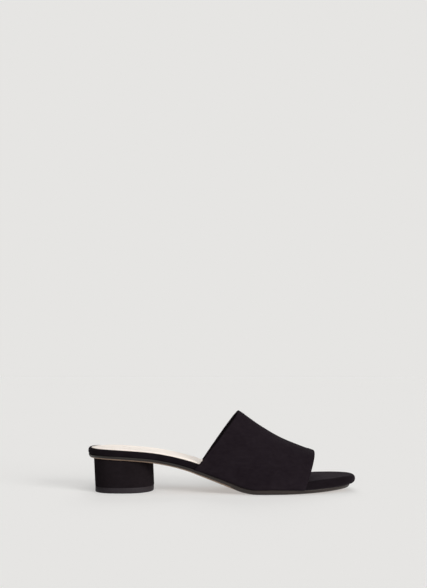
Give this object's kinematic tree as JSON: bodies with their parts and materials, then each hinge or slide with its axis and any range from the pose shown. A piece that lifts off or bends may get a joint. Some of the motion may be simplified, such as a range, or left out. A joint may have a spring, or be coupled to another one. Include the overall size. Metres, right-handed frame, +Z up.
{
  "type": "heeled mule",
  "caption": "Open-toe slip-on mule for the right foot, with one wide strap over the instep, a pale insole and a low round heel.",
  "frame": {"origin": "on the floor that the shoe stands on, in the middle of its footprint's box", "axes": "+X from the heel to the toe, +Y towards the foot's inner side, +Z up"},
  "size_m": [0.244, 0.0813, 0.072],
  "materials": {
    "suede": "black suede, matt, short nap",
    "insole_leather": "pale cream leather, smooth, low sheen",
    "outsole": "dark brown, smooth, low sheen",
    "top_lift": "dark grey, matt"
  },
  "bodies": {
    "root": {"upper": "suede", "footbed": "suede", "insole": "insole_leather", "outsole": "outsole", "heel": "suede", "top_lift": "top_lift"}
  },
  "joints": []
}
